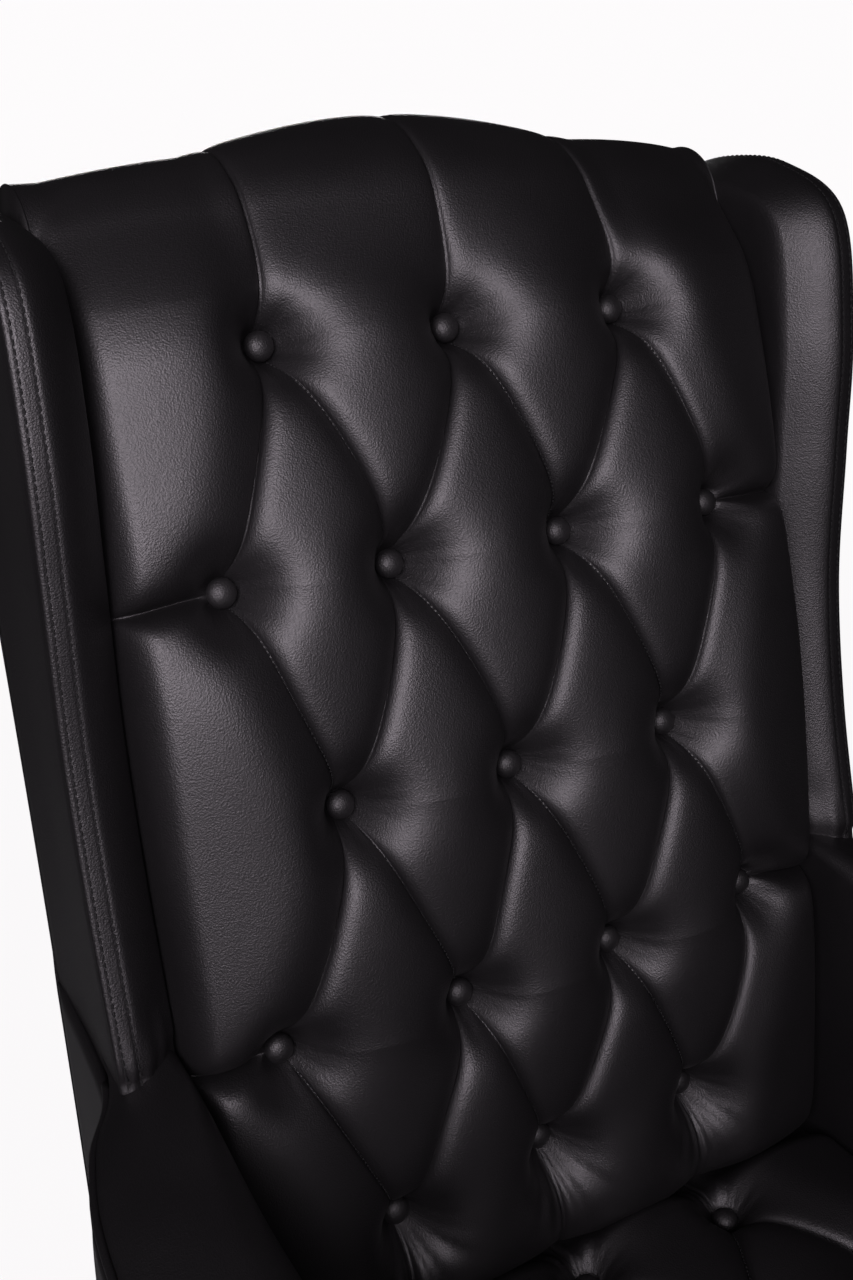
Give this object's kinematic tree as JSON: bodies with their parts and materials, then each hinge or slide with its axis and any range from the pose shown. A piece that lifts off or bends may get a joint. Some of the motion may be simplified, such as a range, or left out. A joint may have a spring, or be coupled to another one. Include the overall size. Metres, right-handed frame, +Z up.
{
  "type": "buttoned wing armchair",
  "caption": "High-backed fireside wing armchair in black leather, deep buttoned inside back and seat, padded wings and rounded arms, on short wooden legs.",
  "frame": {"origin": "centre of the footprint box, on the floor", "axes": "+Z up, -Y towards the sitter's front, +X towards the sitter's left"},
  "size_m": [0.705, 0.8012, 1.1963],
  "materials": {
    "leather": "satin, fine grain",
    "piping": "satin",
    "buttons": "satin",
    "frame_wood": "sawn and planed",
    "polished_wood": "dark stain, polished",
    "filling": "foam and wadding",
    "hessian": "coarse weave",
    "webbing": "woven",
    "twine": "twisted",
    "dust_cloth": "matt",
    "spring_steel": "oiled",
    "clip_steel": "plain",
    "bolt_steel": "plain",
    "glide_steel": "nickel plated"
  },
  "bodies": {
    "root": {"arm_facing_left": "leather", "arm_facing_right": "leather", "arm_padding_left": "leather", "arm_padding_right": "leather", "arm_piping_left": "piping", "arm_piping_right": "piping", "arm_post_left": "frame_wood", "arm_post_right": "frame_wood", "arm_rail_left": "frame_wood", "arm_rail_right": "frame_wood", "back_buttons": "buttons", "back_filling": "filling", "back_hessian": "hessian", "back_post_left": "frame_wood", "back_post_right": "frame_wood", "back_seat_rail": "frame_wood", "back_twines": "twine", "back_webbing": "webbing", "corner_blocks": "frame_wood", "crest_rail": "frame_wood", "dust_cover": "dust_cloth", "front_border": "leather", "front_leg_left": "polished_wood", "front_leg_right": "polished_wood", "front_seat_rail": "frame_wood", "hanger_bolts": "bolt_steel", "inside_back": "leather", "leg_glides": "glide_steel", "lower_back_rail": "frame_wood", "outside_arm_left": "leather", "outside_arm_right": "leather", "outside_back": "leather", "outside_wing_left": "leather", "outside_wing_right": "leather", "rear_leg_left": "polished_wood", "rear_leg_right": "polished_wood", "seat_buttons": "buttons", "seat_cover": "leather", "seat_filling": "filling", "seat_hessian": "hessian", "seat_springs": "spring_steel", "seat_twines": "twine", "side_seat_rail_left": "frame_wood", "side_seat_rail_right": "frame_wood", "spring_clips": "clip_steel", "wing_board_left": "frame_wood", "wing_board_right": "frame_wood", "wing_padding_left": "leather", "wing_padding_right": "leather"}
  },
  "joints": []
}
